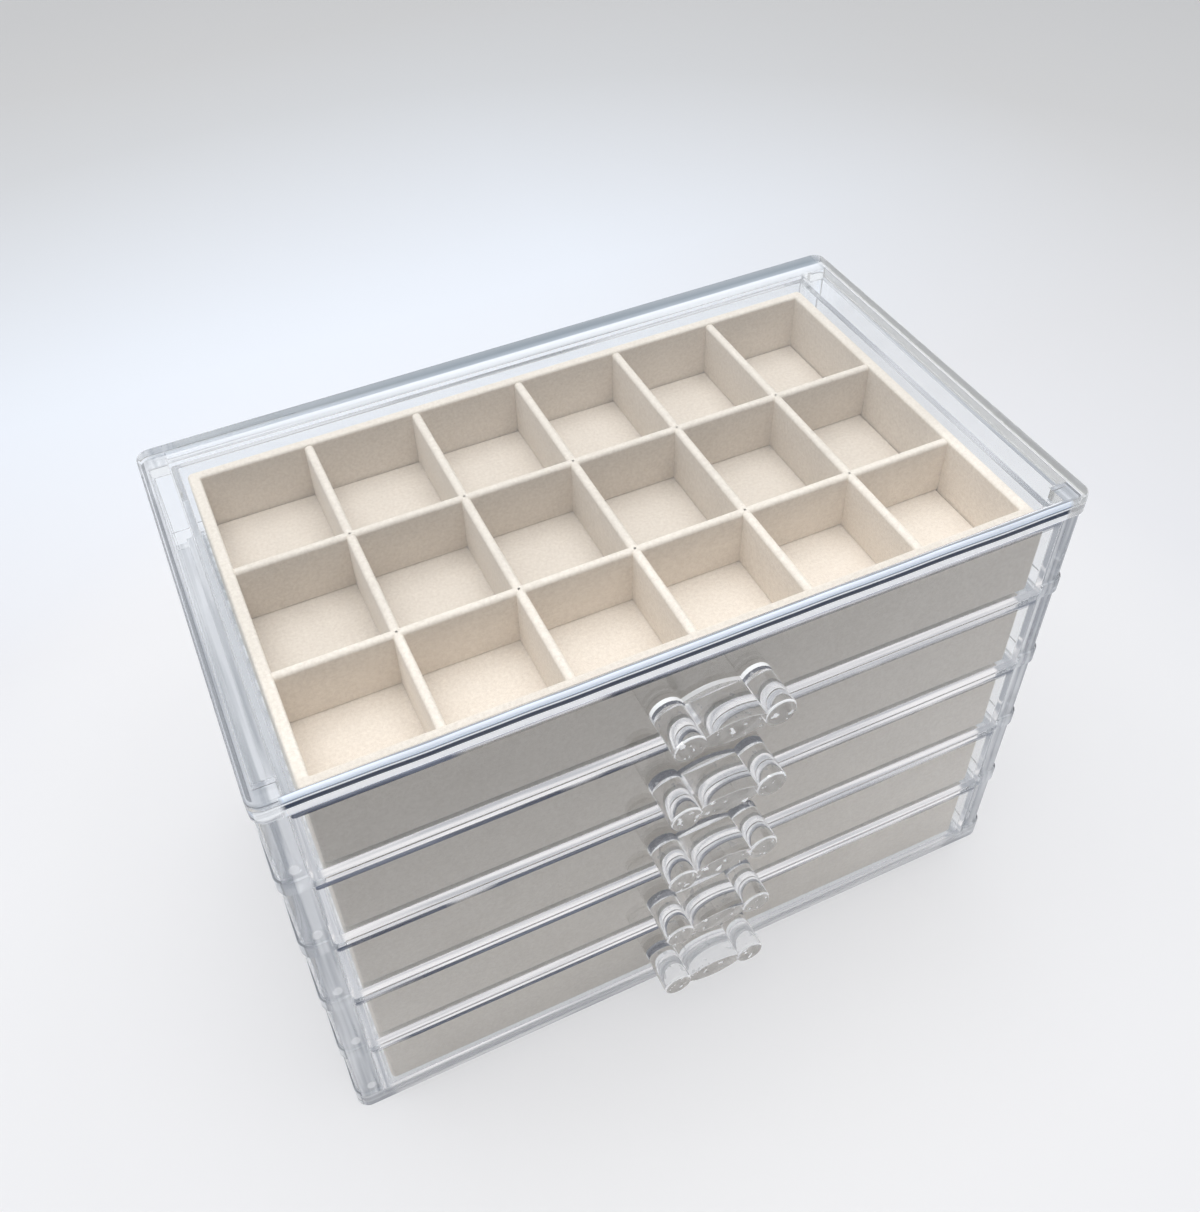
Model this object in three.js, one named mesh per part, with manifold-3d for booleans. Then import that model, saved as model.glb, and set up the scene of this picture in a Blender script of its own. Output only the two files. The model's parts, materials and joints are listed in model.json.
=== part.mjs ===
// A clear display box with five sliding drawers, each with a velvet tray. Millimetres, +Z up, front at -Y.
// The origin is the middle of the flat underside. Every frame, drawer and pull is the same moulding repeated.
import * as THREE from "three";
import { ConvexGeometry } from "three/addons/geometries/ConvexGeometry.js";
import { mergeVertices } from "three/addons/utils/BufferGeometryUtils.js";
import Module from "manifold-3d";

const wasm = await Module();
wasm.setup();

// Case, outside.
const caseWidth = 235;
const caseDepth = 138;
const caseHeight = 166;
const caseCornerRadius = 4;
const basePlateThickness = 2.5;
const coverHeight = 7;

// One frame of the stack: a floor, walls on three sides, four corner pillars and two low guide ribs.
const frameFloorThickness = 2;
const frameWallThickness = 2.5;
const frameWallInset = 0.7;
const bandHeight = 5.5;
const pillarWidth = 8.2;
const ribThickness = 2;

// Cover: a plate with a lip all round that stands on the top frame.
const coverPlateThickness = 3;
const coverLipThickness = 2.5;
const coverEdgeRadius = 1.2;

// Drawer tub.
const tubWall = 2;
const tubFloor = 2;
const tubCornerRadius = 1.2;
const drawerSideClearance = 0.3;
const drawerBottomClearance = 0.3;
const drawerTopClearance = 0.5;
const drawerBackClearance = 0.8;

// Pull: two round lobes joined by a middle that swells, all one moulding that stands out of the tub's front.
const pullProjection = 14;
const pullLobeRadius = 4.7;
const pullLobeOffset = 13;
const pullMiddleHalfHeight = 4;
const pullMiddleHalfLength = 11;
const pullMiddleEndHalfHeight = 0.8;
const pullEdgeRadius = 0.8;

// Velvet tray and its dividers.
const traySideClearance = 1.7;
const trayFrontClearance = 1.2;
const trayBackClearance = 1.9;
const trayTopDrop = 1.5;
const trayFloor = 5.9;
const trayWall = 3.4;
const trayFrontWall = 6.4;
const trayCornerRadius = 1.6;
const dividerThickness = 2.8;
const dividerDrop = 0.4;
const dividerEndClearance = 0.2;
const lapSideClearance = 0.15;
const lapEndClearance = 0.15;
const lapShare = 0.5;

// How each tray is divided, lowest tray first: shares of its rows from front to back, and its equal columns.
const trayLayouts = [
  { rowShares: [1], columns: 2 },
  { rowShares: [1], columns: 3 },
  { rowShares: [1], columns: 3 },
  { rowShares: [0.5, 0.5], columns: 3 },
  { rowShares: [0.292, 0.341, 0.367], columns: 6 },
];

// Roundness of the drawn curves.
const cornerSteps = 5;
const lobeSides = 24;
const lobeEdgeSteps = 2;
const middleSteps = 10;
const coverEdgeSteps = 3;

// Sizes that follow from the ones above.
const quarterTurn = Math.PI / 2;
const caseHalfWidth = caseWidth / 2;
const caseHalfDepth = caseDepth / 2;
const frameCount = trayLayouts.length;
const coverBottom = caseHeight - coverHeight;
const framePitch = (coverBottom - basePlateThickness) / frameCount;
const coverPlateBottom = caseHeight - coverPlateThickness;
const drawerWayHalfWidth = caseHalfWidth - pillarWidth;
const pillarDepthFace = caseHalfDepth - pillarWidth;
const frameInnerHalfWidth = caseHalfWidth - frameWallInset - frameWallThickness;
const frameInnerBack = caseHalfDepth - frameWallInset - frameWallThickness;
const tubHalfWidth = drawerWayHalfWidth - drawerSideClearance;
const tubFront = -caseHalfDepth;
const tubBack = frameInnerBack - drawerBackClearance;
const tubBottomAboveFrame = frameFloorThickness + drawerBottomClearance;
const tubHeight = framePitch - drawerTopClearance - tubBottomAboveFrame;
const pullHeightAboveTub = tubHeight / 2;
const trayHalfWidth = tubHalfWidth - tubWall - traySideClearance;
const trayFront = tubFront + tubWall + trayFrontClearance;
const trayBack = tubBack - tubWall - trayBackClearance;
const trayInnerHalfWidth = trayHalfWidth - trayWall;
const trayInnerFront = trayFront + trayFrontWall;
const trayInnerBack = trayBack - trayWall;
const trayHeight = tubHeight - tubFloor - trayTopDrop;
const dividerHeight = trayHeight - trayFloor - dividerDrop;

function solidFrom(geometry) {
  const bare = geometry.clone();
  bare.deleteAttribute("normal");
  bare.deleteAttribute("uv");
  const merged = mergeVertices(bare);
  const vertProperties = merged.attributes.position.array;
  const triVerts = new Uint32Array(merged.index.array);
  return new wasm.Manifold(new wasm.Mesh({ numProp: 3, vertProperties, triVerts }));
}

function geometryFrom(solid) {
  const mesh = solid.getMesh();
  const positions = new Float32Array(mesh.numVert * 3);
  for (let vertex = 0; vertex < mesh.numVert; vertex += 1) {
    const start = vertex * mesh.numProp;
    positions.set(mesh.vertProperties.subarray(start, start + 3), vertex * 3);
  }
  const indexed = new THREE.BufferGeometry();
  indexed.setAttribute("position", new THREE.BufferAttribute(positions, 3));
  indexed.setIndex(new THREE.BufferAttribute(new Uint32Array(mesh.triVerts), 1));
  const flat = indexed.toNonIndexed();
  flat.computeVertexNormals();
  return flat;
}

function boxSolid(low, high) {
  const size = [0, 1, 2].map((axis) => high[axis] - low[axis]);
  const geometry = new THREE.BoxGeometry(size[0], size[1], size[2]);
  geometry.translate(low[0] + size[0] / 2, low[1] + size[1] / 2, low[2] + size[2] / 2);
  return solidFrom(geometry);
}

function roundedOutline(left, right, front, back, radius) {
  const outline = new THREE.Shape();
  outline.absarc(right - radius, back - radius, radius, 0, quarterTurn);
  outline.absarc(left + radius, back - radius, radius, quarterTurn, 2 * quarterTurn);
  outline.absarc(left + radius, front + radius, radius, 2 * quarterTurn, 3 * quarterTurn);
  outline.absarc(right - radius, front + radius, radius, 3 * quarterTurn, 4 * quarterTurn);
  return outline;
}

function roundedSlab(left, right, front, back, radius, bottom, top) {
  const outline = roundedOutline(left, right, front, back, radius);
  const depth = top - bottom;
  const drawing = { depth, bevelEnabled: false, curveSegments: cornerSteps };
  const geometry = new THREE.ExtrudeGeometry(outline, drawing);
  geometry.translate(0, 0, bottom);
  return solidFrom(geometry);
}

// A slab with the case's outline, drawn in by the same amount all round.
function caseSlab(inset, bottom, top) {
  const halfWidth = caseHalfWidth - inset;
  const halfDepth = caseHalfDepth - inset;
  return roundedSlab(-halfWidth, halfWidth, -halfDepth, halfDepth, caseCornerRadius - inset, bottom, top);
}

// The cover's outer form: the case's outline with a rounded upper edge.
function coverForm() {
  const points = [];
  const addOutline = (inset, height) => {
    const halfWidth = caseHalfWidth - inset;
    const halfDepth = caseHalfDepth - inset;
    const radius = caseCornerRadius - inset;
    const outline = roundedOutline(-halfWidth, halfWidth, -halfDepth, halfDepth, radius);
    outline.getPoints(cornerSteps).forEach((point) => {
      points.push(new THREE.Vector3(point.x, point.y, height));
    });
  };
  addOutline(0, coverBottom);
  for (let step = 0; step <= coverEdgeSteps; step += 1) {
    const angle = (quarterTurn * step) / coverEdgeSteps;
    const inset = coverEdgeRadius * (1 - Math.cos(angle));
    addOutline(inset, caseHeight - coverEdgeRadius * (1 - Math.sin(angle)));
  }
  return solidFrom(new ConvexGeometry(points));
}

function joined(solid, extras) {
  return extras.reduce((sum, extra) => sum.add(extra), solid);
}

function without(solid, cuts) {
  return cuts.reduce((rest, cut) => rest.subtract(cut), solid);
}

function frameBottom(level) {
  return basePlateThickness + level * framePitch;
}

function frame(level) {
  const bottom = frameBottom(level);
  const floorTop = bottom + frameFloorThickness;
  const bandTop = bottom + bandHeight;
  const top = bottom + framePitch;
  const over = top + bandHeight;
  const block = caseSlab(0, bottom, bandTop).add(caseSlab(frameWallInset, bottom, top));
  const drawerWay = boxSolid(
    [-drawerWayHalfWidth, -caseDepth, floorTop],
    [drawerWayHalfWidth, frameInnerBack, over],
  );
  const betweenPillars = boxSolid(
    [-frameInnerHalfWidth, -pillarDepthFace, floorTop],
    [frameInnerHalfWidth, pillarDepthFace, over],
  );
  const ribs = [-1, 1].map((side) => {
    const inner = side * drawerWayHalfWidth;
    const outer = side * (drawerWayHalfWidth + ribThickness);
    const length = pillarDepthFace + pillarWidth / 2;
    return boxSolid([Math.min(inner, outer), -length, bottom], [Math.max(inner, outer), length, bandTop]);
  });
  return joined(without(block, [drawerWay, betweenPillars]), ribs);
}

function cover() {
  const lipInnerWidth = caseHalfWidth - coverLipThickness;
  const lipInnerDepth = caseHalfDepth - coverLipThickness;
  const below = coverBottom - coverPlateThickness;
  const inside = boxSolid(
    [-drawerWayHalfWidth, -lipInnerDepth, below],
    [drawerWayHalfWidth, lipInnerDepth, coverPlateBottom],
  );
  const betweenPillars = boxSolid(
    [-lipInnerWidth, -pillarDepthFace, below],
    [lipInnerWidth, pillarDepthFace, coverPlateBottom],
  );
  return without(coverForm(), [inside, betweenPillars]);
}

function tub(level) {
  const bottom = frameBottom(level) + tubBottomAboveFrame;
  const top = bottom + tubHeight;
  const outer = roundedSlab(-tubHalfWidth, tubHalfWidth, tubFront, tubBack, tubCornerRadius, bottom, top);
  const inner = boxSolid(
    [tubWall - tubHalfWidth, tubFront + tubWall, bottom + tubFloor],
    [tubHalfWidth - tubWall, tubBack - tubWall, top + tubFloor],
  );
  return outer.subtract(inner);
}

// A lobe drawn along +Z from 0, with a rounded far edge, to be turned towards -Y.
function pullLobe() {
  const profile = [new THREE.Vector2(0, 0), new THREE.Vector2(pullLobeRadius, 0)];
  for (let step = 0; step <= lobeEdgeSteps; step += 1) {
    const angle = (quarterTurn * step) / lobeEdgeSteps;
    const radius = pullLobeRadius - pullEdgeRadius * (1 - Math.cos(angle));
    profile.push(new THREE.Vector2(radius, pullProjection - pullEdgeRadius * (1 - Math.sin(angle))));
  }
  profile.push(new THREE.Vector2(0, pullProjection));
  const geometry = new THREE.LatheGeometry(profile, lobeSides);
  geometry.rotateX(quarterTurn);
  return geometry;
}

function pullMiddle() {
  const endHeight = pullMiddleEndHalfHeight;
  const controlHeight = 2 * pullMiddleHalfHeight - endHeight;
  const outline = new THREE.Shape();
  outline.moveTo(pullMiddleHalfLength, -endHeight);
  outline.lineTo(pullMiddleHalfLength, endHeight);
  outline.quadraticCurveTo(0, controlHeight, -pullMiddleHalfLength, endHeight);
  outline.lineTo(-pullMiddleHalfLength, -endHeight);
  outline.quadraticCurveTo(0, -controlHeight, pullMiddleHalfLength, -endHeight);
  return new THREE.ExtrudeGeometry(outline, {
    depth: pullProjection - pullEdgeRadius / 2,
    bevelEnabled: false,
    curveSegments: middleSteps,
  });
}

function pull(level) {
  const lobes = [-1, 1].map((side) => pullLobe().translate(side * pullLobeOffset, 0, 0));
  const height = frameBottom(level) + tubBottomAboveFrame + pullHeightAboveTub;
  const pieces = [...lobes, pullMiddle()].map((geometry) => {
    geometry.rotateX(quarterTurn);
    geometry.translate(0, tubFront, height);
    return solidFrom(geometry);
  });
  return joined(pieces[0], pieces.slice(1));
}

function trayBottom(level) {
  return frameBottom(level) + tubBottomAboveFrame + tubFloor;
}

function tray(level) {
  const bottom = trayBottom(level);
  const top = bottom + trayHeight;
  const sides = [-trayHalfWidth, trayHalfWidth, trayFront, trayBack];
  const outer = roundedSlab(...sides, trayCornerRadius, bottom, top);
  const inner = boxSolid(
    [-trayInnerHalfWidth, trayInnerFront, bottom + trayFloor],
    [trayInnerHalfWidth, trayInnerBack, top + trayFloor],
  );
  return outer.subtract(inner);
}

// Middle lines of the dividers that part a length into cells of the given shares.
function dividerPlaces(low, high, shares) {
  const freeLength = high - low - (shares.length - 1) * dividerThickness;
  const whole = shares.reduce((sum, share) => sum + share, 0);
  let cellEnd = low - dividerThickness;
  return shares.slice(0, -1).map((share) => {
    cellEnd += dividerThickness + (freeLength * share) / whole;
    return cellEnd + dividerThickness / 2;
  });
}

// Dividers of one tray. Long ones run from side to side and are notched from above, where the cross ones lap
// over them with notches from below.
function dividers(level) {
  const { rowShares, columns } = trayLayouts[level];
  const bottom = trayBottom(level) + trayFloor;
  const top = bottom + dividerHeight;
  const half = dividerThickness / 2;
  const notchHalf = half + lapSideClearance;
  const lapHeight = bottom + dividerHeight * lapShare;
  const longPlaces = dividerPlaces(trayInnerFront, trayInnerBack, rowShares);
  const equalShares = Array(columns).fill(1);
  const crossPlaces = dividerPlaces(-trayInnerHalfWidth, trayInnerHalfWidth, equalShares);
  const made = [];
  longPlaces.forEach((y, index) => {
    const endX = trayInnerHalfWidth - dividerEndClearance;
    const strip = boxSolid([-endX, y - half, bottom], [endX, y + half, top]);
    const notchBottom = lapHeight - lapEndClearance;
    const notches = crossPlaces.map((x) =>
      boxSolid([x - notchHalf, y - trayWall, notchBottom], [x + notchHalf, y + trayWall, top + trayWall]),
    );
    made.push([`long_divider_${index + 1}`, without(strip, notches)]);
  });
  crossPlaces.forEach((x, index) => {
    const front = trayInnerFront + dividerEndClearance;
    const back = trayInnerBack - dividerEndClearance;
    const strip = boxSolid([x - half, front, bottom], [x + half, back, top]);
    const notchTop = lapHeight + lapEndClearance;
    const notches = longPlaces.map((y) =>
      boxSolid([x - trayWall, y - notchHalf, bottom - trayWall], [x + trayWall, y + notchHalf, notchTop]),
    );
    made.push([`cross_divider_${index + 1}`, without(strip, notches)]);
  });
  return made;
}

const clearPlastic = new THREE.MeshStandardMaterial({
  color: 0xdfeaf0,
  roughness: 0.06,
  metalness: 0,
  transparent: true,
  opacity: 0.3,
});
const velvet = new THREE.MeshStandardMaterial({ color: 0xe2d8c9, roughness: 0.95, metalness: 0 });

const part = new THREE.Group();

function addNode(name, solid, material) {
  const mesh = new THREE.Mesh(geometryFrom(solid), material);
  mesh.name = name;
  part.add(mesh);
}

addNode("base_plate", caseSlab(0, 0, basePlateThickness), clearPlastic);
addNode("top_cover", cover(), clearPlastic);
trayLayouts.forEach((_, level) => {
  const number = level + 1;
  addNode(`frame_${number}`, frame(level), clearPlastic);
  addNode(`drawer_${number}`, tub(level), clearPlastic);
  addNode(`pull_${number}`, pull(level), clearPlastic);
  addNode(`tray_${number}`, tray(level), velvet);
  dividers(level).forEach(([name, solid]) => addNode(`tray_${number}_${name}`, solid, velvet));
});

export default part;
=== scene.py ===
"""Looks of the clear display box: polished plastic, velvet trays, studio floor and camera."""
import json
import math

import bmesh
import bpy
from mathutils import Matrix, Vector


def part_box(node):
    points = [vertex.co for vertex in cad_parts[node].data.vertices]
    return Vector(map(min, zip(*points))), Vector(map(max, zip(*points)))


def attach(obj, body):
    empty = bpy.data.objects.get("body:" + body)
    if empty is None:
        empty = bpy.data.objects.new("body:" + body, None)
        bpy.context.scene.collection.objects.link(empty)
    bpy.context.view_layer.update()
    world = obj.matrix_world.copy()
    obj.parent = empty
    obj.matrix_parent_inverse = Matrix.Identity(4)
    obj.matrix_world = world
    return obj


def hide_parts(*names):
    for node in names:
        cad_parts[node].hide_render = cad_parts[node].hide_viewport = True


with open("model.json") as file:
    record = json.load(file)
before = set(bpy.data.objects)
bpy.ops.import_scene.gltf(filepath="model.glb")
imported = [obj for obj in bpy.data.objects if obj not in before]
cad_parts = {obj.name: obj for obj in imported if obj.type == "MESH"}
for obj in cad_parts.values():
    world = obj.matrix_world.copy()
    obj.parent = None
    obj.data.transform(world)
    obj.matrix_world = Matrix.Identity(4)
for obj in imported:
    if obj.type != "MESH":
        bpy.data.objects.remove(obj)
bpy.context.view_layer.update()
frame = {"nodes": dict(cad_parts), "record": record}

MM = 0.001

# A name that ends in RAMP is a change of one value by another: two values of the first, and then
# what the second is at each of them. A RUN is the stretch of a noise by axis, and its scale.

# Camera, from the photograph: place in metres, turn in degrees, lens and sensor in millimetres.
CAMERA_PLACE = (-0.10863, -0.24381, 0.39910)
CAMERA_TURN = (45.296, 2.375, -24.042)
CAMERA_LENS = 37.204
CAMERA_SENSOR = 36
CAMERA_SHIFT = (0.0323, -0.0462)
CAMERA_CLIP = (0.01, 50)

# Lamps, each a name, place, size, power and colour, and the world.
LAMPS = (
    ("overhead", (-0.05, -0.02, 1.5), (1.7, 1.4), 19.5, (1.0, 0.985, 0.965)),
    ("left_window", (-1.4, -0.2, 0.9), (0.8, 1.0), 0.7, (0.95, 0.975, 1.0)),
)
LAMP_TARGET = (0, 0, 0.08)
WORLD_COLOUR = (0.93, 0.95, 0.98)
WORLD_IN_PLASTIC_RAMP = (0.0, 1.0, 0.76, 0.95)
ROOM_RAMP = (-0.6, 0.3, 0.08, 1.0)

# Floor, by distance from the box. Painted shade: it darkens with distance from the box.
# A bluish tint lies on it in a patch behind the box.
FLOOR_HALF_WIDTH = 4.0
FLOOR_DROP = 0.05 * MM
FLOOR_OFFSET = (0, 30.0 * MM, 0)
FLOOR_RAMP = (0.10, 0.66, 0.0, 1.0)
FLOOR_COLOURS = (
    (0.00, (0.985, 0.985, 0.99)), (0.08, (0.94, 0.94, 0.955)), (0.20, (0.872, 0.878, 0.90)),
    (0.34, (0.79, 0.80, 0.835)), (1.00, (0.660, 0.665, 0.675)),
)
FLOOR_TINT = (1.08, 1.125, 1.18)
TINT_START_RAMP = (0.17, 0.34, 0.0, 1.0)
TINT_END_RAMP = (0.38, 0.75, 1.0, 0.0)
TINT_RIGHT_RAMP = (0.15, 0.5, 1.0, 0.0)
# Painted light: a glow that only camera and plastic see lightens the floor near the box, over the
# box's shadow, and far off.
NEAR_FLOOR = (0.84, 0.845, 0.87)
NEAR_RAMP = (0.20, 0.30, 0.58, 0.0)
HORIZON = (0.707, 0.722, 0.745)
HORIZON_RAMP = (0.92, 2.2, 0.0, 1.0)

# Clear plastic.
PLASTIC_IOR = 1.49
CASE_TINT = (0.985, 0.992, 0.996)
CASE_SMUDGE_SCALE = 60.0
DRAWER_TINT = (0.988, 0.993, 0.996)
DRAWER_SMUDGE_SCALE = 45.0
PULL_TINT = (0.990, 0.994, 0.997)
PULL_SMUDGE_SCALE = 80.0
LIT_THROUGH = (0.95, 0.955, 0.96)
SMUDGE_RAMP = (0.5, 0.8, 0.0, 0.045)
RIPPLE_SCALE = 28.0
RIPPLE_STRENGTH = 0.02
RIPPLE_DEPTH = 0.4 * MM
EDGE_ROUND = 0.35 * MM
PULL_EDGE_ROUND = 0.2 * MM
SEAM = 0.04 * MM

# Light in which rays end that have been thrown to and fro inside the plastic: the numbers of
# turns after which they do, and the dark and light colours of its streaks.
CARRIED_DEPTH = 7.5
MIRRORED_DEPTH = 2.5
FRONT_RUN = ((0.05, 1, 1), 330.0)
SIDE_RUN = ((1, 0.03, 0.03), 420.0)
PULL_RUN = ((0.6, 1, 1), 420.0)
STREAK_LIMITS = (0.40, 0.60)
PULL_STREAK_LIMITS = (0.44, 0.56)
FRONT_LIGHT = ((0.50, 0.51, 0.54), (0.86, 0.85, 0.86))
BACK_LIGHT = ((0.28, 0.30, 0.32), (0.74, 0.76, 0.79))
SIDE_LIGHT = ((0.33, 0.35, 0.385), (0.64, 0.655, 0.69))
PULL_LIGHT = ((0.30, 0.31, 0.33), (0.88, 0.89, 0.90))
TO_BACK_RAMP = (-20.0 * MM, 55.0 * MM, 0.0, 1.0)

# Lines of painted highlights, painted dark reflections and painted shade on the plastic's edges.
# They are lit as a matte colour and give off a little light of their own. A FADE
# is the two depths behind the front face between which a line ends.
LINES_GLOW = 0.30
ANY_STRENGTH = 0.01
PAINTED_HIGHLIGHT_WHITE = (0.97, 0.98, 1.0)

# Front edge of the cover: lines of painted highlights and painted dark reflections.
# The colours of its lines follow each other from below.
FRONT_FACE = -69.0 * MM
COVER_BOTTOM = 159.0 * MM
COVER_LINES_LENGTH = 9.2 * MM
COVER_LINES_DEPTH = 3.0 * MM
COVER_LINES_FADE = (0.9 * MM, 1.1 * MM)
COVER_LINES_STRENGTH = 0.96
COVER_LINES_END_RAMP = (109.0 * MM, 110.5 * MM, 1.0, 0.15)
COVER_LINES = (
    (0.00, (0.62, 0.64, 0.68)), (0.05, (0.80, 0.83, 0.88)), (0.09, (0.93, 0.95, 0.99)),
    (0.27, (0.95, 0.97, 1.00)), (0.31, (0.05, 0.065, 0.10)), (0.45, (0.03, 0.045, 0.08)),
    (0.48, (0.90, 0.94, 0.99)), (0.51, (0.94, 0.96, 0.99)), (0.54, (0.18, 0.22, 0.29)),
    (0.56, (0.20, 0.24, 0.31)), (0.60, (0.72, 0.80, 0.93)), (0.79, (0.80, 0.87, 0.97)),
    (0.83, (0.24, 0.26, 0.30)), (0.86, (0.28, 0.30, 0.34)), (1.00, (0.70, 0.74, 0.80)),
)
WANDER_RUN = ((1, 0, 0), 16.0)
WANDER_RAMP = (0.3, 0.7, -0.5 * MM, 0.5 * MM)

# Back edge of the cover: lines of painted highlights and painted dark reflections.
# The colours of its lines follow each other toward the back.
BACK_LINES_WIDTH = 10.0 * MM
BACK_LINES = (
    (0.00, (0.62, 0.65, 0.69)), (0.36, (0.66, 0.69, 0.74)), (0.42, (0.27, 0.31, 0.36)),
    (0.60, (0.20, 0.235, 0.27)), (0.88, (0.27, 0.30, 0.335)), (1.00, (0.24, 0.26, 0.28)),
)
BACK_LINES_FROM = 0.001
BACK_LINES_UPWARD = 0.3
BACK_LINES_END_RAMP = (112.5 * MM, 115.5 * MM, 0.88, 0.0)
BACK_LINES_START_RAMP = (0.0, 0.4, 0.5, 1.0)
BACK_LINES_LEFT_RAMP = (-100.0 * MM, -20.0 * MM, 0.45, 1.0)

# Side edges of the cover, with an outline of painted shade, paler on the right, and the faces of
# the case beside the drawers, with painted light on them and painted shade at their outer edge.
OUTLINE_START = 116.9 * MM
OUTLINE = (0.18, 0.19, 0.21)
RIGHT_OUTLINE = (0.50, 0.50, 0.49)
OUTLINE_RAMP = (-100.0 * MM, 100.0 * MM, 0.25, 0.6)
SIDE_START = 105.6 * MM
SIDE_BLEND = 1.0 * MM
SIDE_STRENGTH = 0.6
SIDE_OUTLINE_START = 115.8 * MM
SQUARE_ON = 0.7
COLUMN_RAMP = (-64.0 * MM, -60.0 * MM, 0.8, 0.0)

# Painted shade: a grey band along the front of the foot. Painted highlights: a white spot on
# each storey of the left front pillar.
BAND_FADE = (0.5 * MM, 1.0 * MM)
FOOT_BAND = ((0.34, 0.35, 0.38), (0.60, 0.61, 0.64))
FOOT_BAND_RAMP = (6.6 * MM, 7.2 * MM, 0.62, 0.0)
STOREYS_START = 2.5 * MM
STOREY = 31.3 * MM
SPOT_PLACE = (-112.0 * MM, 9.4 * MM)
SPOT_SQUASH = 0.65
SPOT_RAMP = (1.2 * MM, 1.7 * MM, 1.0, 0.0)

# Painted shade: a dark line on the upper edge of a drawer's front, by the share of the
# drawer's height.
DARK_LINE = ((0.03, 0.04, 0.075), (0.12, 0.14, 0.20))
DARK_LINE_RAMP = (0.957, 0.965, 0.0, 1.0)
DARK_LINE_FADE = (0.4 * MM, 0.5 * MM)
DARK_LINE_RUN = ((1, 0, 2.4), 22.0)
DARK_LINE_PATCH_RAMP = (0.38, 0.46, 0.15, 0.85)
DARK_LINE_LEFT_RAMP = (-30.0 * MM, 30.0 * MM, 1.0, 0.4)

# Painted highlights and painted dark reflections on the rims and foot of a pull, and painted
# glints.
PULL_DARK = (0.06, 0.07, 0.10)
PULL_RIM_TURNS = (0.18, 0.95)
PULL_RIM_STRENGTH = 0.48
UPPER_TURN = 0.15
LOWER_TURN = 0.25
PULL_FOOT_RING = -70.3 * MM
DARK_RING = -71.4 * MM
DARK_RING_STRENGTH = 0.7
LOBE_START = 8.5 * MM
TOP_PULL_RAMP = (130.0 * MM, 131.0 * MM, 0.0, 1.0)
FOOT_RING_RAMP = (0.0, 1.0, 0.65, 0.35)
GLINT_SCALE = 420.0
GLINT_RAMP = (0.62, 0.65, 0.0, 1.0)
GLINT_TURN_RAMP = (0.0, 0.1, 0.25, 1.0)
GLINT_STRENGTH = 0.85

# Velvet.
VELVET_COLOURS = ((0.36, (0.715, 0.645, 0.565)), (0.64, (0.838, 0.772, 0.690)))
VELVET_SHEEN = 0.35
VELVET_SHEEN_ROUGHNESS = 0.4
VELVET_SHEEN_TINT = (1.0, 0.97, 0.92)
VELVET_SPECULAR = 0.15
VELVET_ROUGHNESS_RAMP = (0.3, 0.7, 0.86, 1.0)
PATCH_SCALE = 70.0
PATCH_SHARE = 0.2
PILE_SCALE = 950.0
PILE_SHARE = 0.8
PILE_STRENGTH = 0.18
PILE_DEPTH = 0.15 * MM
# Painted shade and light on the velvet: its outer front darker higher up and lighter to the right,
# the front row of cells lighter, and its rims lighter.
OUTER_HEIGHT_RAMP = (17.0 * MM, 143.0 * MM, 0.955, 0.69)
OUTER_RIGHT_RAMP = (-20.0 * MM, 105.0 * MM, 0.0, 0.175)
OUTER_FRONT_RAMP = (-65.5 * MM, -65.2 * MM, 1.0, 0.0)
FRONT_ROW_RAMP = (-30.0 * MM, -15.0 * MM, 1.13, 1.0)
VELVET_RIM = (1.14, 1.15, 1.15)
VELVET_RIM_RAMP = (0.95, 0.985, 0.0, 0.75)
BEHIND_FRONT_WALL_RAMP = (-60.0 * MM, -59.0 * MM, 0.0, 1.0)

# Shapes of the velvet trays, their dividers and the clear tubs.
VELVET_EDGE_ROUND = 0.8 * MM
VELVET_LIFT = 0.06 * MM
TRAY_WALL = 3.4 * MM
TRAY_FRONT_WALL = 6.4 * MM
TRAY_FLOOR = 5.9 * MM
TRAY_CORNER = 1.6 * MM
TRAY_INNER_CORNER = 0.5 * MM
GROOVE_WIDTH = 0.35 * MM
GROOVE_DEPTH = 0.9 * MM
DIVIDER_REACH = 1.0 * MM
DIVIDER_ROUND = 1.1 * MM
DIVIDER_GAP = 0.3 * MM
TUB_WALL = 2.0 * MM
TUB_CORNER = 1.2 * MM
TUB_FILLET = 0.6 * MM
CURVE_STEPS = 6
GROOVE_STEPS = 3
LEAST_RIM_CORNER = 1 / 4
LEAST_CORNER = 1 / 10

# Meshes taken over from the CAD nodes.
WELD_DISTANCE = 0.002 * MM
FLAT_ANGLE = math.radians(1)
BEVEL_ANGLE = math.radians(32)
BEVEL_SEGMENTS = 2
FLAT_FACES_WEIGHT = 100
FLAT_FACES_THRESHOLD = 0.01

BODY_OF_NODE = {
    node: body
    for body, members in frame["record"]["behaviour"]["bodies"].items()
    for node in members
}


def node_names(*starts):
    return sorted(name for name in frame["nodes"] if name.startswith(starts))


# Building blocks of the materials. The world has nodes too, so it also goes in as a material.

def new_material(name):
    material = bpy.data.materials.new(name)
    material.use_nodes = True
    material.node_tree.nodes.clear()
    return material


def add_node(material, kind, settings=None, **inputs):
    node = material.node_tree.nodes.new(kind)
    for key, value in (settings or {}).items():
        setattr(node, key, value)
    for key, value in inputs.items():
        node.inputs[key.replace("_", " ")].default_value = value
    return node


def link(material, source, target):
    material.node_tree.links.new(source, target)


def calculated(material, operation, *values):
    """The result of a Math node for values that are sockets or plain numbers."""
    node = add_node(material, "ShaderNodeMath", {"operation": operation})
    for place, value in zip(node.inputs, values):
        if isinstance(value, (int, float)):
            place.default_value = value
        else:
            link(material, value, place)
    return node.outputs[0]


def folded(material, operation, values):
    result = values[0]
    for value in values[1:]:
        result = calculated(material, operation, result, value)
    return result


def product(material, *values):
    return folded(material, "MULTIPLY", values)


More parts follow.
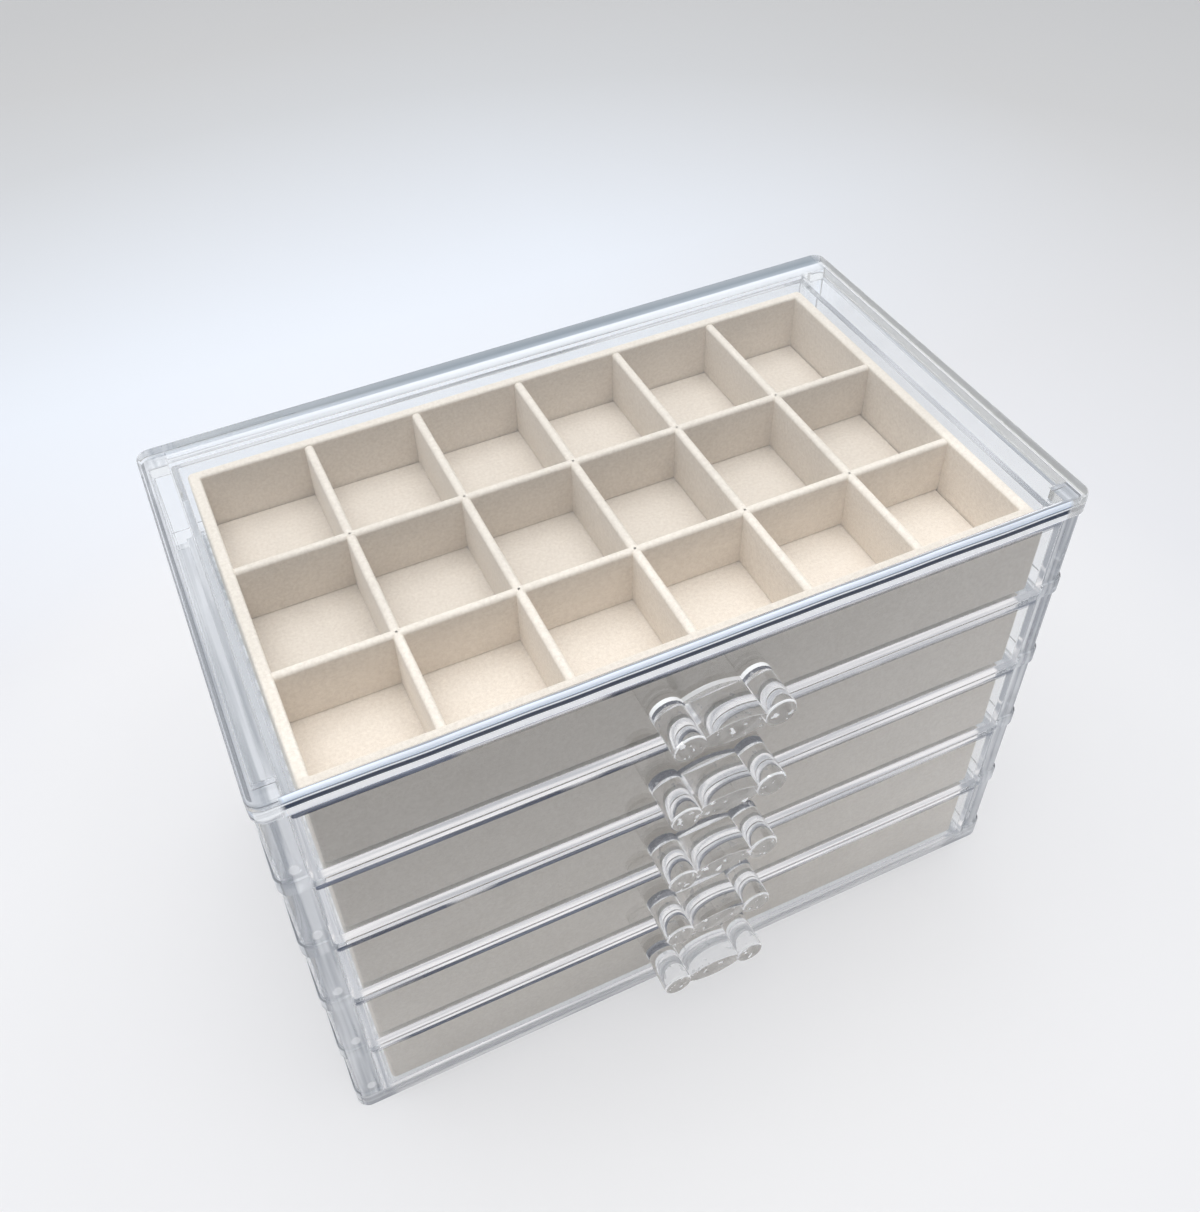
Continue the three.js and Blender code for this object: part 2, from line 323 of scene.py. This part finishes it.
def total(material, *values):
    return folded(material, "ADD", values)


def largest(material, *values):
    return folded(material, "MAXIMUM", values)


def absolute(material, value):
    return calculated(material, "ABSOLUTE", value)


def beyond(material, value, limit):
    return calculated(material, "GREATER_THAN", value, limit)


def mapped(material, value, low_in, high_in, low_out, high_out):
    ranged = add_node(material, "ShaderNodeMapRange")
    for index, number in enumerate((low_in, high_in, low_out, high_out), start=1):
        ranged.inputs[index].default_value = number
    link(material, value, ranged.inputs[0])
    return ranged.outputs[0]


def opposite(material, value):
    return mapped(material, value, 0.0, 1.0, 1.0, 0.0)


def coordinates(material, kind):
    return add_node(material, "ShaderNodeTexCoord").outputs[kind]


def axes_of(material, vector):
    parts = add_node(material, "ShaderNodeSeparateXYZ")
    link(material, vector, parts.inputs[0])
    return parts.outputs


def object_axes(material):
    return axes_of(material, coordinates(material, "Object"))


def vector_node(material, operation, vector):
    node = add_node(material, "ShaderNodeVectorMath", {"operation": operation})
    link(material, vector, node.inputs[0])
    return node


def length_of(material, vector):
    return vector_node(material, "LENGTH", vector).outputs["Value"]


def multiplied(material, colour, factors):
    """A colour times three factors, which are a socket or plain numbers."""
    node = vector_node(material, "MULTIPLY", colour)
    if isinstance(factors, tuple):
        node.inputs[1].default_value = factors
    else:
        link(material, factors, node.inputs[1])
    return node.outputs["Vector"]


def noise(material, scale, detail=2.0, roughness=0.5, stretch=None):
    """Noise, in streaks that are long where the numbers of `stretch` are small."""
    place = coordinates(material, "Object")
    if stretch:
        stretched = add_node(material, "ShaderNodeMapping", Scale=stretch)
        link(material, place, stretched.inputs["Vector"])
        place = stretched.outputs[0]
    texture = add_node(
        material, "ShaderNodeTexNoise", Scale=scale, Detail=detail, Roughness=roughness,
    )
    link(material, place, texture.inputs["Vector"])
    return texture.outputs["Fac"]


def noise_along(material, run):
    stretch, scale = run
    return noise(material, scale, stretch=stretch)


def stepped_colours(material, value, stops):
    """Colours that follow each other along a value, each a place and a colour."""
    ramp = add_node(material, "ShaderNodeValToRGB")
    elements = ramp.color_ramp.elements
    for element, (place, colour) in zip(elements, (stops[0], stops[-1])):
        element.position = place
        element.color = (*colour, 1)
    for place, colour in stops[1:-1]:
        elements.new(place).color = (*colour, 1)
    link(material, value, ramp.inputs["Fac"])
    return ramp.outputs["Color"]


def streaks(material, run, colours, limits=STREAK_LIMITS):
    return stepped_colours(material, noise_along(material, run), tuple(zip(limits, colours)))


def plain_colour(material, colour):
    node = add_node(material, "ShaderNodeRGB")
    node.outputs[0].default_value = (*colour, 1)
    return node.outputs[0]


def blended(material, factor, first, second):
    """A blend of two colours. The node's sockets share their names, so they go by number."""
    mix = add_node(material, "ShaderNodeMix", {"data_type": "RGBA"})
    link(material, factor, mix.inputs[0])
    link(material, first, mix.inputs[6])
    link(material, second, mix.inputs[7])
    return mix.outputs[2]


def mixed_shaders(material, factor, first, second):
    mix = add_node(material, "ShaderNodeMixShader")
    link(material, factor, mix.inputs["Fac"])
    link(material, first, mix.inputs[1])
    link(material, second, mix.inputs[2])
    return mix.outputs[0]


def emission(material, colour, strength=1.0):
    node = add_node(material, "ShaderNodeEmission", Strength=strength)
    link(material, colour, node.inputs["Color"])
    return node.outputs[0]


def bump_from(material, height, strength, distance, shader):
    bump = add_node(material, "ShaderNodeBump", Strength=strength, Distance=distance)
    link(material, height, bump.inputs["Height"])
    link(material, bump.outputs["Normal"], shader.inputs["Normal"])


def finish_material(material, shader, kind="ShaderNodeOutputMaterial"):
    output = add_node(material, kind)
    link(material, shader, output.inputs["Surface"])


# Clear plastic. A function of lines returns their strength and their colour: lines of painted
# highlights, painted dark reflections and painted shade.

def case_light(material):
    """Light carried in a plate of the case: bright at the front, dim at the back."""
    front = streaks(material, FRONT_RUN, FRONT_LIGHT)
    back = streaks(material, FRONT_RUN, BACK_LIGHT)
    sides = streaks(material, SIDE_RUN, SIDE_LIGHT)
    axes = object_axes(material)
    to_back = mapped(material, axes["Y"], *TO_BACK_RAMP)
    across = absolute(material, axes["X"])
    to_side = mapped(material, across, SIDE_START, SIDE_START + SIDE_BLEND, 0.0, 1.0)
    return blended(material, to_side, blended(material, to_back, front, back), sides)


def pull_light(material):
    return streaks(material, PULL_RUN, PULL_LIGHT, PULL_STREAK_LIMITS)


def on_front_face(material, axes, fade, strength=1.0):
    """Strength of what lies on the box's front face."""
    start, end = fade
    return mapped(material, axes["Y"], FRONT_FACE + start, FRONT_FACE + end, strength, 0.0)


def front_lines_of_cover(material, axes, across):
    """Lines of painted highlights and dark reflections up the cover's front face and over its edge,
    which wander a little.
    """
    from_front = mapped(
        material, axes["Y"], FRONT_FACE, FRONT_FACE + COVER_LINES_DEPTH, 0.0, COVER_LINES_DEPTH,
    )
    wander = mapped(material, noise_along(material, WANDER_RUN), *WANDER_RAMP)
    along = total(material, axes["Z"], from_front, wander)
    lines_top = COVER_BOTTOM + COVER_LINES_LENGTH
    height = mapped(material, along, COVER_BOTTOM, lines_top, 0.0, 1.0)
    strength = product(
        material, on_front_face(material, axes, COVER_LINES_FADE, COVER_LINES_STRENGTH),
        mapped(material, across, *COVER_LINES_END_RAMP),
    )
    return strength, stepped_colours(material, height, COVER_LINES)


def back_lines_of_cover(material, axes, across):
    """Lines of painted highlights and dark reflections on the upper side of the cover's back edge.
    """
    back_face = -FRONT_FACE
    to_back = mapped(material, axes["Y"], back_face - BACK_LINES_WIDTH, back_face, 0.0, 1.0)
    facing = add_node(material, "ShaderNodeNewGeometry")
    normal = axes_of(material, facing.outputs["Normal"])
    strength = product(
        material,
        beyond(material, to_back, BACK_LINES_FROM),
        beyond(material, normal["Z"], BACK_LINES_UPWARD),
        mapped(material, across, *BACK_LINES_END_RAMP),
        opposite(material, facing.outputs["Backfacing"]),
        mapped(material, to_back, *BACK_LINES_START_RAMP),
        mapped(material, axes["X"], *BACK_LINES_LEFT_RAMP),
    )
    return strength, stepped_colours(material, to_back, BACK_LINES)


def edges_of_cover(material):
    """Painted lines on the cover's front and back edges, and an outline of painted shade at its
    sides, paler on the right.
    """
    axes = object_axes(material)
    across = absolute(material, axes["X"])
    front, front_colours = front_lines_of_cover(material, axes, across)
    back, back_colours = back_lines_of_cover(material, axes, across)
    outline = product(
        material, beyond(material, across, OUTLINE_START),
        mapped(material, axes["X"], *OUTLINE_RAMP),
    )
    colour = blended(
        material, beyond(material, axes["X"], 0.0),
        plain_colour(material, OUTLINE), plain_colour(material, RIGHT_OUTLINE),
    )
    colour = blended(material, beyond(material, back, ANY_STRENGTH), colour, back_colours)
    colour = blended(material, beyond(material, front, ANY_STRENGTH), colour, front_colours)
    return largest(material, front, outline, back), colour


def band_at_foot(material, axes):
    """Painted shade: the grey band along the front of the box's foot."""
    low = mapped(material, axes["Z"], *FOOT_BAND_RAMP)
    strength = product(material, low, on_front_face(material, axes, BAND_FADE))
    return strength, streaks(material, FRONT_RUN, FOOT_BAND)


def painted_highlight_spots(material, axes):
    """Strength of the painted highlights, white spots on the left front pillar, one in each storey.
    """
    above_base = total(material, axes["Z"], -STOREYS_START)
    in_storey = calculated(material, "MODULO", above_base, STOREY)
    spot_x, spot_z = SPOT_PLACE
    offset = add_node(material, "ShaderNodeCombineXYZ")
    link(material, total(material, axes["X"], -spot_x), offset.inputs["X"])
    above_spot = product(material, total(material, in_storey, -spot_z), SPOT_SQUASH)
    link(material, above_spot, offset.inputs["Z"])
    spot = mapped(material, length_of(material, offset.outputs[0]), *SPOT_RAMP)
    return product(material, spot, on_front_face(material, axes, BAND_FADE))


def sides_of_case(material):
    """A painted soft light on the case's faces beside the drawers, with painted shade dark at the
    outer edge.

    The band of painted shade at the foot and the painted highlight spots on the left pillar lie
    over it.
    """
    axes = object_axes(material)
    across = absolute(material, axes["X"])
    beside = mapped(material, across, SIDE_START, SIDE_START + SIDE_BLEND, 0.0, SIDE_STRENGTH)
    facing = add_node(material, "ShaderNodeNewGeometry")
    normal = axes_of(material, facing.outputs["True Normal"])
    level = beyond(material, absolute(material, normal["Z"]), SQUARE_ON)
    upright = beyond(material, absolute(material, normal["Y"]), SQUARE_ON)
    column = product(material, upright, mapped(material, axes["Y"], *COLUMN_RAMP))
    strength = product(material, beside, largest(material, level, column))
    colour = blended(
        material, beyond(material, across, SIDE_OUTLINE_START),
        streaks(material, SIDE_RUN, SIDE_LIGHT), plain_colour(material, OUTLINE),
    )
    foot, foot_colour = band_at_foot(material, axes)
    colour = blended(material, beyond(material, foot, ANY_STRENGTH), colour, foot_colour)
    spots = painted_highlight_spots(material, axes)
    colour = blended(material, spots, colour, plain_colour(material, PAINTED_HIGHLIGHT_WHITE))
    return largest(material, strength, foot, spots), colour


def front_of_drawer(material):
    """Painted shade: a dark line that comes and goes on the upper edge of a drawer's front, and the
    foot band.
    """
    share_of_box = axes_of(material, coordinates(material, "Generated"))
    axes = object_axes(material)
    strength = product(
        material,
        mapped(material, share_of_box["Z"], *DARK_LINE_RAMP),
        on_front_face(material, axes, DARK_LINE_FADE),
        mapped(material, noise_along(material, DARK_LINE_RUN), *DARK_LINE_PATCH_RAMP),
        mapped(material, axes["X"], *DARK_LINE_LEFT_RAMP),
    )
    dark = streaks(material, FRONT_RUN, DARK_LINE)
    foot, foot_colour = band_at_foot(material, axes)
    colour = blended(material, beyond(material, foot, ANY_STRENGTH), dark, foot_colour)
    return largest(material, strength, foot), colour


def painted_light_on_pull(material):
    """Painted highlights, white on the upper rims of a pull, painted dark reflections beside them,
    painted crescents at its foot, and painted glints.
    """
    facing = add_node(material, "ShaderNodeNewGeometry")
    normal = axes_of(material, facing.outputs["Normal"])
    axes = object_axes(material)
    forward = product(material, normal["Y"], -1.0)
    least_turn, most_turn = PULL_RIM_TURNS
    on_rim = product(
        material, beyond(material, forward, least_turn), beyond(material, normal["Y"], -most_turn),
    )
    upper = beyond(material, normal["Z"], UPPER_TURN)
    lower = beyond(material, product(material, normal["Z"], -1.0), LOWER_TURN)
    rim = product(material, on_rim, largest(material, upper, lower), PULL_RIM_STRENGTH)

    at_foot = product(material, beyond(material, axes["Y"], PULL_FOOT_RING), upper)
    on_lobe = beyond(material, absolute(material, axes["X"]), LOBE_START)
    before_foot = beyond(material, axes["Y"], DARK_RING)
    dark_ring = product(material, before_foot, upper, on_lobe, DARK_RING_STRENGTH)
    on_top_pull = mapped(material, axes["Z"], *TOP_PULL_RAMP)
    foot_strength = mapped(material, on_top_pull, *FOOT_RING_RAMP)
    foot = largest(material, product(material, at_foot, foot_strength), dark_ring)

    glints = product(
        material, mapped(material, noise(material, GLINT_SCALE), *GLINT_RAMP),
        mapped(material, forward, *GLINT_TURN_RAMP),
    )
    white = largest(
        material, product(material, on_rim, upper), product(material, at_foot, on_top_pull), glints,
    )
    colour = blended(
        material, white, plain_colour(material, PULL_DARK), plain_colour(material, PAINTED_HIGHLIGHT_WHITE),
    )
    strength = largest(material, rim, product(material, glints, GLINT_STRENGTH), foot)
    outside = opposite(material, facing.outputs["Backfacing"])
    return product(material, strength, outside), colour


def clear_plastic(name, tint, smudge_scale, carried_light, edge_lines):
    """Glass that lets light through to what is inside, with lines of painted highlights, dark
    reflections and shade on its edges.

    A ray that has been thrown to and fro inside it ends in the carried light.
    """
    material = new_material(name)
    glass = add_node(
        material, "ShaderNodeBsdfPrincipled",
        Base_Color=(*tint, 1), IOR=PLASTIC_IOR, Transmission_Weight=1.0,
    )
    smudges = noise(material, smudge_scale, detail=4.0, roughness=0.6)
    link(material, mapped(material, smudges, *SMUDGE_RAMP), glass.inputs["Roughness"])
    ripples = noise(material, RIPPLE_SCALE, detail=1.0)
    bump_from(material, ripples, RIPPLE_STRENGTH, RIPPLE_DEPTH, glass)
    path = add_node(material, "ShaderNodeLightPath").outputs
    lost = largest(
        material, beyond(material, path["Ray Depth"], CARRIED_DEPTH),
        beyond(material, path["Glossy Depth"], MIRRORED_DEPTH),
    )
    glow = emission(material, carried_light(material))
    seen = mixed_shaders(material, lost, glass.outputs[0], glow)

    # Painted highlights, dark reflections and shade on the edges: a matte colour that also glows a
    # little.
    strength, colour = edge_lines(material)
    painted_lines_surface = add_node(material, "ShaderNodeBsdfDiffuse")
    link(material, colour, painted_lines_surface.inputs["Color"])
    lines = add_node(material, "ShaderNodeAddShader")
    link(material, painted_lines_surface.outputs[0], lines.inputs[0])
    link(material, emission(material, colour, LINES_GLOW), lines.inputs[1])
    seen = mixed_shaders(material, strength, seen, lines.outputs[0])

    lit_through = largest(material, path["Is Shadow Ray"], path["Is Diffuse Ray"])
    clear = add_node(material, "ShaderNodeBsdfTransparent", Color=(*LIT_THROUGH, 1))
    finish_material(material, mixed_shaders(material, lit_through, seen, clear.outputs[0]))
    return material


# Velvet.

def shaded_velvet(material, colour):
    """Painted shade and light: velvet darker on the trays' outer front, lighter on rims and in the
    front row of cells.
    """
    axes = object_axes(material)
    outer = total(
        material, mapped(material, axes["Z"], *OUTER_HEIGHT_RAMP),
        mapped(material, axes["X"], *OUTER_RIGHT_RAMP),
    )
    level = add_node(material, "ShaderNodeMix", {"data_type": "FLOAT"})
    link(material, mapped(material, axes["Y"], *OUTER_FRONT_RAMP), level.inputs[0])
    link(material, mapped(material, axes["Y"], *FRONT_ROW_RAMP), level.inputs[2])
    link(material, outer, level.inputs[3])
    scaled = vector_node(material, "SCALE", colour)
    link(material, level.outputs[0], scaled.inputs["Scale"])
    shaded = scaled.outputs["Vector"]
    share_of_box = axes_of(material, coordinates(material, "Generated"))
    rim = product(
        material, mapped(material, share_of_box["Z"], *VELVET_RIM_RAMP),
        mapped(material, axes["Y"], *BEHIND_FRONT_WALL_RAMP),
    )
    return blended(material, rim, shaded, multiplied(material, shaded, VELVET_RIM))


def velvet_material():
    material = new_material("beige_velvet")
    shader = add_node(
        material, "ShaderNodeBsdfPrincipled", Sheen_Weight=VELVET_SHEEN,
        Sheen_Roughness=VELVET_SHEEN_ROUGHNESS, Sheen_Tint=(*VELVET_SHEEN_TINT, 1),
        Specular_IOR_Level=VELVET_SPECULAR,
    )
    patches = noise(material, PATCH_SCALE, detail=3.0, roughness=0.55)
    pile = noise(material, PILE_SCALE, detail=3.0, roughness=0.8)
    both = calculated(
        material, "MULTIPLY_ADD", pile, PILE_SHARE, product(material, patches, PATCH_SHARE),
    )
    colour = shaded_velvet(material, stepped_colours(material, both, VELVET_COLOURS))
    link(material, colour, shader.inputs["Base Color"])
    roughness = mapped(material, patches, *VELVET_ROUGHNESS_RAMP)
    link(material, roughness, shader.inputs["Roughness"])
    bump_from(material, pile, PILE_STRENGTH, PILE_DEPTH, shader)
    finish_material(material, shader.outputs[0])
    return material


# Meshes. A rect is (left, right, front, back).

def cleaned_mesh(node):
    """A welded copy of a node's mesh with its flat faces joined again."""
    shape = bmesh.new()
    shape.from_mesh(frame["nodes"][node].data)
    bmesh.ops.remove_doubles(shape, verts=shape.verts, dist=WELD_DISTANCE)
    bmesh.ops.dissolve_limit(
        shape, angle_limit=FLAT_ANGLE, verts=shape.verts, edges=shape.edges, delimit={"NORMAL"},
    )
    return shape


def placed_piece(name, node, mesh, material):
    """Puts a finished mesh in the scene in place of its CAD node, on that node's body."""
    mesh.materials.clear()
    mesh.materials.append(material)
    for polygon in mesh.polygons:
        polygon.use_smooth = True
        polygon.material_index = 0
    piece = bpy.data.objects.new(name, mesh)
    bpy.context.scene.collection.objects.link(piece)
    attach(piece, BODY_OF_NODE[node])
    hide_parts(node)
    return piece


def keep_flats_flat(piece):
    normals = piece.modifiers.new("flat_faces", "WEIGHTED_NORMAL")
    normals.mode = "FACE_AREA"
    normals.weight = FLAT_FACES_WEIGHT
    normals.thresh = FLAT_FACES_THRESHOLD


def bevelled_piece(name, node, shape, width, material):
    """A piece with the outline of its CAD node and rounded edges."""
    mesh = bpy.data.meshes.new(name)
    shape.to_mesh(mesh)
    shape.free()
    piece = placed_piece(name, node, mesh, material)
    bevel = piece.modifiers.new("round", "BEVEL")
    bevel.width = width
    bevel.segments = BEVEL_SEGMENTS
    bevel.limit_method = "ANGLE"
    bevel.angle_limit = BEVEL_ANGLE
    bevel.use_clamp_overlap = True
    keep_flats_flat(piece)
    return piece


def rect_of(low, high, wall=0.0):
    return (low.x + wall, high.x - wall, low.y + wall, high.y - wall)


def shrunk(rect, amount):
    left, right, front, back = rect
    return (left + amount, right - amount, front + amount, back - amount)


def ring(rect, radius, height):
    """Points of a rect with round corners at a height."""
    left, right, front, back = rect
    centres = (
        (right - radius, back - radius, 0), (left + radius, back - radius, 90),
        (left + radius, front + radius, 180), (right - radius, front + radius, 270),
    )
    points = []
    for centre_x, centre_y, first in centres:
        for step in range(CURVE_STEPS + 1):
            angle = math.radians(first + 90 * step / CURVE_STEPS)
            x = centre_x + radius * math.cos(angle)
            y = centre_y + radius * math.sin(angle)
            points.append((x, y, height))
    return points


def lofted_mesh(name, rings):
    """A closed mesh through rings of equal point counts, with flat faces on first and last."""
    count = len(rings[0])
    vertices = [point for points in rings for point in points]
    faces = [tuple(reversed(range(count)))]
    for level in range(len(rings) - 1):
        for index in range(count):
            following = (index + 1) % count
            low, high = level * count, (level + 1) * count
            faces.append((low + index, low + following, high + following, high + index))
    faces.append(tuple(range((len(rings) - 1) * count, len(rings) * count)))
    mesh = bpy.data.meshes.new(name)
    mesh.from_pydata(vertices, [], faces)
    return mesh


def quarter(steps=CURVE_STEPS):
    """Sines and cosines of evenly spaced turns from 0 to 90 degrees."""
    turns = [math.pi / 2 * step / steps for step in range(steps + 1)]
    return [(math.sin(turn), math.cos(turn)) for turn in turns]


def wall_rings(outer, inner, corner, inner_corner, bottom, top, edge):
    """Rings of a box's outside and rounded rim, down to the start of its inside."""
    rings = []
    for sine, cosine in quarter():
        inset = edge * (1 - sine)
        radius = max(corner - inset, edge * LEAST_RIM_CORNER)
        rings.append(ring(shrunk(outer, inset), radius, bottom + edge * (1 - cosine)))
    for sine, cosine in quarter():
        inset = edge * (1 - cosine)
        radius = max(corner - inset, edge * LEAST_RIM_CORNER)
        rings.append(ring(shrunk(outer, inset), radius, top - edge * (1 - sine)))
    for sine, cosine in quarter():
        grow = edge * (1 - sine)
        rings.append(ring(shrunk(inner, -grow), inner_corner + grow, top - edge * (1 - cosine)))
    return rings


def filleted_floor(inner, fillet, floor):
    """Rings from a box's inside over rounded corners to its floor."""
    rings = []
    for sine, cosine in quarter():
        inset = fillet * (1 - cosine)
        radius = max(fillet - inset, fillet * LEAST_CORNER)
        rings.append(ring(shrunk(inner, inset), radius, floor + fillet * (1 - sine)))
    return rings


def grooved_floor(inner, corner, floor):
    """Rings from a box's inside through a narrow groove to its floor, where boards meet."""
    rings = [
        ring(inner, corner, floor - GROOVE_DEPTH),
        ring(shrunk(inner, GROOVE_WIDTH), corner, floor - GROOVE_DEPTH),
    ]
    for sine, cosine in quarter(GROOVE_STEPS):
        inset = GROOVE_WIDTH + GROOVE_WIDTH * (1 - cosine)
        rings.append(ring(shrunk(inner, inset), corner, floor - GROOVE_WIDTH * (1 - sine)))
    return rings


def bar_mesh(name, rect, bottom, top, edge):
    """A bar with a rounded upper edge."""
    rings = [ring(rect, edge, bottom)]
    for sine, cosine in quarter():
        inset = edge * (1 - cosine)
        radius = max(edge - inset, edge * LEAST_CORNER)
        rings.append(ring(shrunk(rect, inset), radius, top - edge * (1 - sine)))
    return lofted_mesh(name, rings)


# Pieces of the box.

def make_case_pieces(frame_material, cover_material):
    """The base plate, the frames and the cover, with a fine seam under each but the first."""
    for node in node_names("base_plate", "top_cover", "frame_"):
        shape = cleaned_mesh(node)
        bottom = min(vertex.co.z for vertex in shape.verts)
        if node != "base_plate":
            for vertex in shape.verts:
                if vertex.co.z < bottom + SEAM:
                    vertex.co.z += SEAM
        material = cover_material if node == "top_cover" else frame_material
        bevelled_piece("clear_" + node, node, shape, EDGE_ROUND, material)


def make_tubs(material):
    for node in node_names("drawer_"):
        low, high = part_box(node)
        inner = rect_of(low, high, TUB_WALL)
        rings = wall_rings(
            rect_of(low, high), inner, TUB_CORNER, TUB_FILLET, low.z, high.z, EDGE_ROUND,
        )
        rings += filleted_floor(inner, TUB_FILLET, low.z + TUB_WALL)
        mesh = lofted_mesh("clear_" + node, rings)
        keep_flats_flat(placed_piece("clear_" + node, node, mesh, material))


def make_pulls(material):
    """The pulls, each a fine seam away from its drawer's front."""
    for node in node_names("pull_"):
        shape = cleaned_mesh(node)
        foot = max(vertex.co.y for vertex in shape.verts)
        for vertex in shape.verts:
            if vertex.co.y > foot - SEAM:
                vertex.co.y += SEAM
        bevelled_piece("clear_" + node, node, shape, PULL_EDGE_ROUND, material)


def divider_mesh(node):
    """A divider whose ends reach into the tray's walls."""
    low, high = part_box(node)
    left, right, front, back = rect_of(low, high)
    if "long" in node:
        rect = (left - DIVIDER_REACH, right + DIVIDER_REACH, front, back)
    else:
        rect = (left, right, front - DIVIDER_REACH, back + DIVIDER_REACH)
    return bar_mesh("velvet_" + node, rect, low.z + DIVIDER_GAP, high.z, DIVIDER_ROUND)


def tray_mesh(node):
    low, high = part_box(node)
    left, right, _, back = rect_of(low, high, TRAY_WALL)
    inner = (left, right, low.y + TRAY_FRONT_WALL, back)
    rings = wall_rings(
        rect_of(low, high), inner, TRAY_CORNER, TRAY_INNER_CORNER,
        low.z + VELVET_LIFT, high.z, VELVET_EDGE_ROUND,
    )
    rings += grooved_floor(inner, TRAY_INNER_CORNER, low.z + TRAY_FLOOR)
    return lofted_mesh("velvet_" + node, rings)


def make_trays(material):
    for node in node_names("tray_"):
        mesh = divider_mesh(node) if "divider" in node else tray_mesh(node)
        keep_flats_flat(placed_piece("velvet_" + node, node, mesh, material))


# Studio.

def floor_material():
    """A pale floor with painted shade, darker with distance. Painted light: camera and plastic see
    it lighter near and far off, where it glows.
    """
    material = new_material("pale_floor")
    centred = add_node(material, "ShaderNodeMapping", Location=FLOOR_OFFSET)
    link(material, coordinates(material, "Object"), centred.inputs["Vector"])
    distance = length_of(material, centred.outputs[0])
    away = mapped(material, distance, *FLOOR_RAMP)
    axes = object_axes(material)
    tinted_part = product(
        material,
        mapped(material, axes["Y"], *TINT_START_RAMP),
        mapped(material, axes["Y"], *TINT_END_RAMP),
        mapped(material, axes["X"], *TINT_RIGHT_RAMP),
    )
    tint = blended(
        material, tinted_part,
        plain_colour(material, (1, 1, 1)), plain_colour(material, FLOOR_TINT),
    )
    shader = add_node(material, "ShaderNodeBsdfDiffuse")
    colour = multiplied(material, stepped_colours(material, away, FLOOR_COLOURS), tint)
    link(material, colour, shader.inputs["Color"])

    # Painted light: a glow seen only by camera and plastic lightens the floor over the box's shadow
    # near it, and far off.
    path = add_node(material, "ShaderNodeLightPath").outputs
    seen = largest(
        material, path["Is Camera Ray"], path["Is Glossy Ray"], path["Is Transmission Ray"],
    )
    near = mapped(material, distance, *NEAR_RAMP)
    far = mapped(material, distance, *HORIZON_RAMP)
    pale = blended(
        material, beyond(material, far, 0.0),
        plain_colour(material, NEAR_FLOOR), plain_colour(material, HORIZON),
    )
    share = product(material, largest(material, near, far), seen)
    glow = emission(material, pale)
    finish_material(material, mixed_shaders(material, share, shader.outputs[0], glow))
    return material


def make_floor():
    mesh = bpy.data.meshes.new("floor")
    reach = FLOOR_HALF_WIDTH
    corners = [(-reach, -reach, 0), (reach, -reach, 0), (reach, reach, 0), (-reach, reach, 0)]
    mesh.from_pydata(corners, [], [(0, 1, 2, 3)])
    mesh.materials.append(floor_material())
    floor = bpy.data.objects.new("floor", mesh)
    floor.location.z = -FLOOR_DROP
    bpy.context.scene.collection.objects.link(floor)


def make_lamp(name, place, size, power, colour):
    """A lamp turned to the box, which shows in no reflection."""
    data = bpy.data.lights.new(name, "AREA")
    data.shape = "RECTANGLE"
    data.size, data.size_y = size
    data.energy = power
    data.color = colour
    lamp = bpy.data.objects.new(name, data)
    lamp.location = place
    direction = Vector(LAMP_TARGET) - Vector(place)
    lamp.rotation_euler = direction.to_track_quat("-Z", "Y").to_euler()
    lamp.visible_glossy = False
    lamp.visible_transmission = False
    bpy.context.scene.collection.objects.link(lamp)


def make_world():
    """A pale studio. Toward the viewer it is dark to all but the camera, to give plastic shape."""
    world = bpy.data.worlds.new("studio")
    bpy.context.scene.world = world
    world.use_nodes = True
    world.node_tree.nodes.clear()
    background = add_node(world, "ShaderNodeBackground", Color=(*WORLD_COLOUR, 1))
    path = add_node(world, "ShaderNodeLightPath").outputs
    in_plastic = largest(world, path["Is Glossy Ray"], path["Is Transmission Ray"])
    direction = axes_of(world, coordinates(world, "Generated"))
    room = mapped(world, direction["Y"], *ROOM_RAMP)
    strength = product(
        world, mapped(world, in_plastic, *WORLD_IN_PLASTIC_RAMP),
        largest(world, room, path["Is Camera Ray"]),
    )
    link(world, strength, background.inputs["Strength"])
    finish_material(world, background.outputs[0], "ShaderNodeOutputWorld")


def make_camera():
    data = bpy.data.cameras.new("camera")
    data.lens = CAMERA_LENS
    data.sensor_width = CAMERA_SENSOR
    data.shift_x, data.shift_y = CAMERA_SHIFT
    data.clip_start, data.clip_end = CAMERA_CLIP
    camera = bpy.data.objects.new("camera", data)
    camera.location = CAMERA_PLACE
    camera.rotation_euler = [math.radians(angle) for angle in CAMERA_TURN]
    bpy.context.scene.collection.objects.link(camera)
    bpy.context.scene.camera = camera


make_camera()
make_world()
make_floor()
for lamp in LAMPS:
    make_lamp(*lamp)

case_plastic = clear_plastic(
    "clear_case", CASE_TINT, CASE_SMUDGE_SCALE, case_light, sides_of_case,
)
drawer_plastic = clear_plastic(
    "clear_drawer", DRAWER_TINT, DRAWER_SMUDGE_SCALE, case_light, front_of_drawer,
)
pull_plastic = clear_plastic(
    "clear_pull", PULL_TINT, PULL_SMUDGE_SCALE, pull_light, painted_light_on_pull,
)
cover_plastic = clear_plastic(
    "clear_cover", CASE_TINT, CASE_SMUDGE_SCALE, case_light, edges_of_cover,
)
make_case_pieces(case_plastic, cover_plastic)
make_tubs(drawer_plastic)
make_pulls(pull_plastic)
make_trays(velvet_material())

bpy.context.scene.view_settings.view_transform = "Standard"
